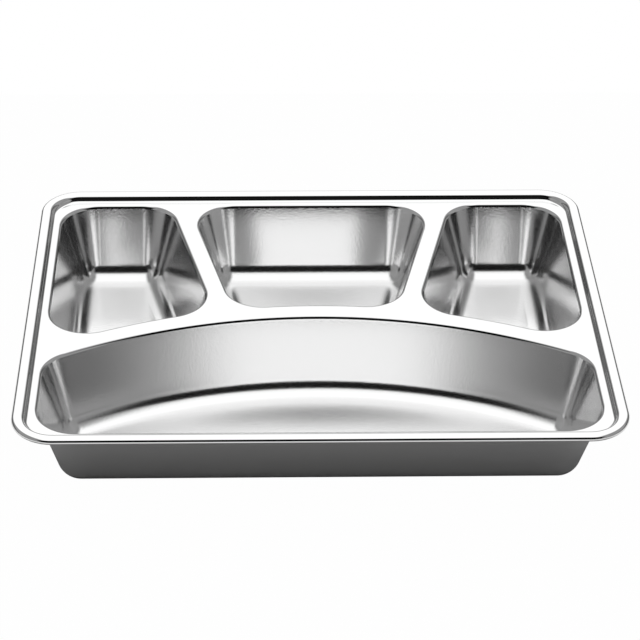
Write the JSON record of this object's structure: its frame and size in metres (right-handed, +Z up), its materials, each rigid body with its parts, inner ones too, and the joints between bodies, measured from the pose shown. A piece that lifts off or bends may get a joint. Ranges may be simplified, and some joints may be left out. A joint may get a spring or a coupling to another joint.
{
  "type": "divided compartment plate",
  "caption": "Rectangular stainless steel dining tray with a rolled edge, a raised lip and drafted compartments: a wide arched one in front, smaller ones behind.",
  "frame": {"origin": "centre of the tray's outline, on the plane that the compartments' floors stand on", "axes": "+X along the tray's length, to the diner's right; +Y away from the diner, from the wide compartment to the small ones; +Z up"},
  "size_m": [0.285, 0.2226, 0.0418],
  "materials": {
    "bright_steel": "polished",
    "satin_steel": "fine satin"
  },
  "bodies": {
    "root": {"rolled_edge": "bright_steel", "raised_lip": "bright_steel", "deck": "bright_steel", "front_bowl": "satin_steel", "left_bowl": "satin_steel", "centre_bowl": "satin_steel", "right_bowl": "satin_steel"}
  },
  "joints": []
}
